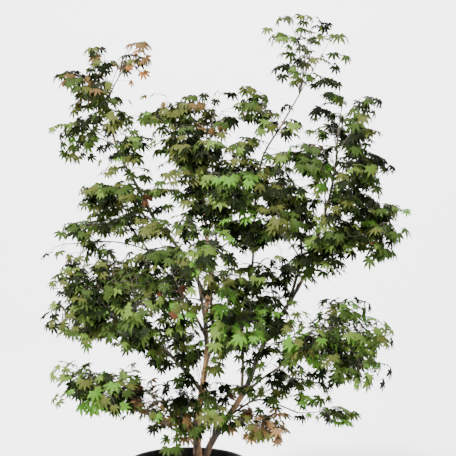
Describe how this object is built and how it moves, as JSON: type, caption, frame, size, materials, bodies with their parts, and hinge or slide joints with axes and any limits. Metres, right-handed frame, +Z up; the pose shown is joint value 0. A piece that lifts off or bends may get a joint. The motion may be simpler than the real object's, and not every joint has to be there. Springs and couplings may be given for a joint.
{
  "type": "potted japanese maple",
  "caption": "Young multi-stemmed japanese maple with palmate leaves, standing in a round nursery pot of soil.",
  "frame": {"origin": "middle of the pot's flat underside", "axes": "+Z up the plant, -Y towards the viewer of the picture, +X to that viewer's right"},
  "size_m": [1.1221, 0.7544, 1.7153],
  "materials": {
    "pot": "black moulded plastic, slightly glossy",
    "soil": "moist bark and peat potting mix",
    "bark": "smooth thin bark, tan in the light",
    "leaves_green": "thin living leaf, satin",
    "leaves_olive": "thin living leaf turning bronze, satin",
    "leaves_amber": "thin leaf in autumn orange, satin",
    "leaves_russet": "thin dry leaf, matt"
  },
  "bodies": {
    "root": {"pot": "pot", "soil": "soil", "trunk": "bark", "leader": "bark", "right_stem": "bark", "bough_upright": "bark", "bough_right": "bark", "bough_low_right": "bark", "bough_left": "bark", "bough_low_left": "bark", "bough_upper_left": "bark", "bough_mid_left": "bark", "bough_inner": "bark", "bough_right_up": "bark", "bough_right_out": "bark", "bough_high": "bark", "bough_front": "bark", "bough_back": "bark", "foliage_top_shoot": "leaves_green", "foliage_right_top": "leaves_green", "foliage_right_brow": "leaves_green", "foliage_right_dark": "leaves_green", "foliage_right_high": "leaves_green", "foliage_right_shelf": "leaves_green", "foliage_right_inner": "leaves_green", "foliage_inner_right": "leaves_green", "foliage_high_right": "leaves_green", "foliage_high": "leaves_green", "foliage_high_left": "leaves_green", "foliage_heart": "leaves_green", "foliage_heart_left": "leaves_green", "foliage_heart_right": "leaves_green", "foliage_centre_right": "leaves_green", "foliage_front": "leaves_green", "foliage_centre_left": "leaves_green", "foliage_left_high": "leaves_olive", "foliage_left_spray": "leaves_amber", "foliage_left_brow": "leaves_green", "foliage_left_shoulder": "leaves_green", "foliage_left_shelf": "leaves_green", "foliage_left_outer": "leaves_green", "foliage_left_far": "leaves_green", "foliage_left_back": "leaves_green", "foliage_left_near": "leaves_green", "foliage_left_inner": "leaves_green", "foliage_low_left": "leaves_green", "foliage_foot_left": "leaves_olive", "foliage_foot": "leaves_olive", "foliage_foot_right": "leaves_green", "foliage_low_front": "leaves_green", "foliage_right_near": "leaves_green", "foliage_right_far": "leaves_green", "foliage_right_low": "leaves_green", "foliage_low_right": "leaves_russet", "foliage_droop_right": "leaves_green", "foliage_back_low": "leaves_green", "foliage_back_right": "leaves_green", "foliage_back_high": "leaves_green", "foliage_centre_far": "leaves_green", "foliage_fork": "leaves_green"}
  },
  "joints": []
}
